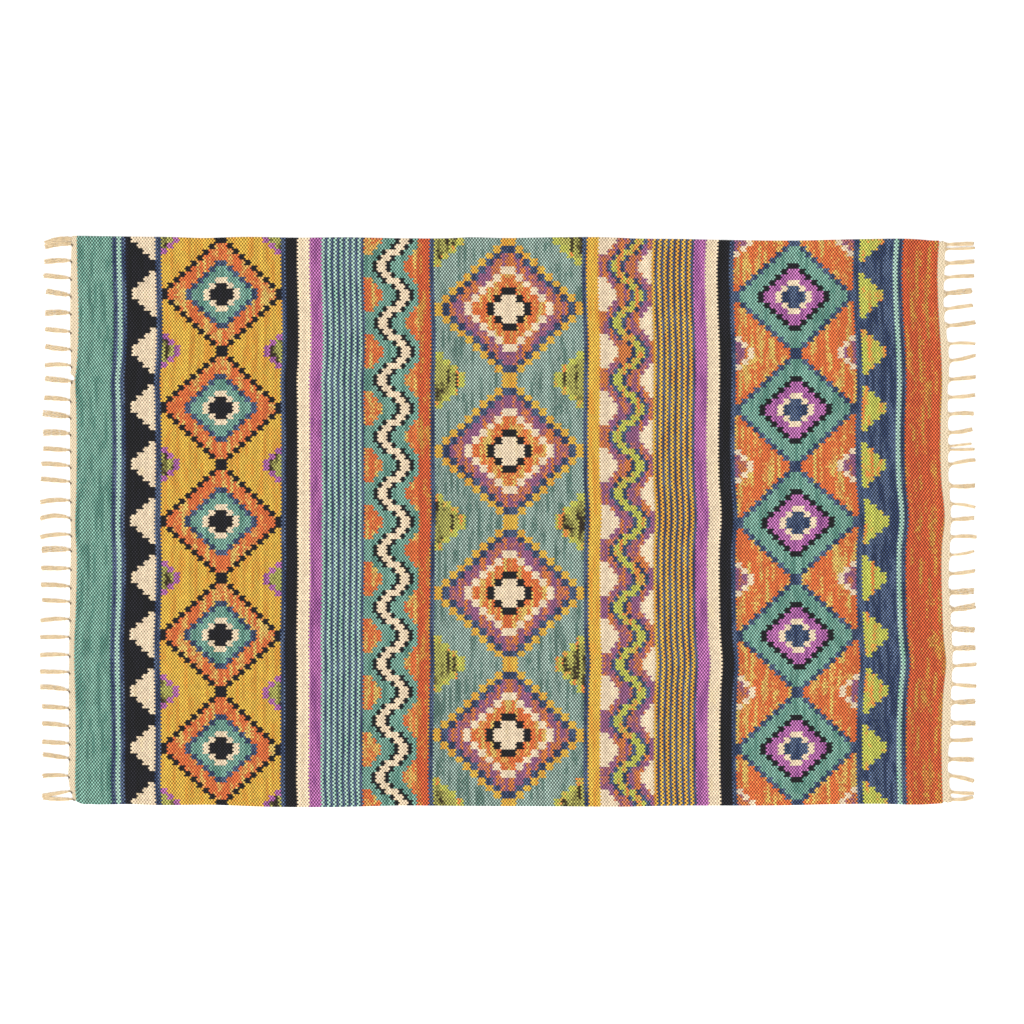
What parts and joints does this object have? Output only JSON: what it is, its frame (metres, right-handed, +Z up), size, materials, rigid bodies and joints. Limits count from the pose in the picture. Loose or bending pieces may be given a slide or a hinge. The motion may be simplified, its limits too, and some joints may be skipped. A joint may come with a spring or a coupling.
{
  "type": "rug",
  "caption": "Flat-woven floor rug with a plain strip and a row of tassels at each end.",
  "frame": {"origin": "on the floor, under the middle of the whole rug with its tassels", "axes": "+X along the rug's length and its warps, +Y across the cloth, +Z up from the floor"},
  "size_m": [2.5612, 1.5616, 0.0054],
  "materials": {
    "dyed_weave": "matt weft-faced plain weave in dyed and mottled yarns",
    "cream_yarn": "undyed cream cotton yarn, matt"
  },
  "bodies": {
    "root": {"web": "dyed_weave", "fringe_left": "cream_yarn", "fringe_right": "cream_yarn"}
  },
  "joints": []
}
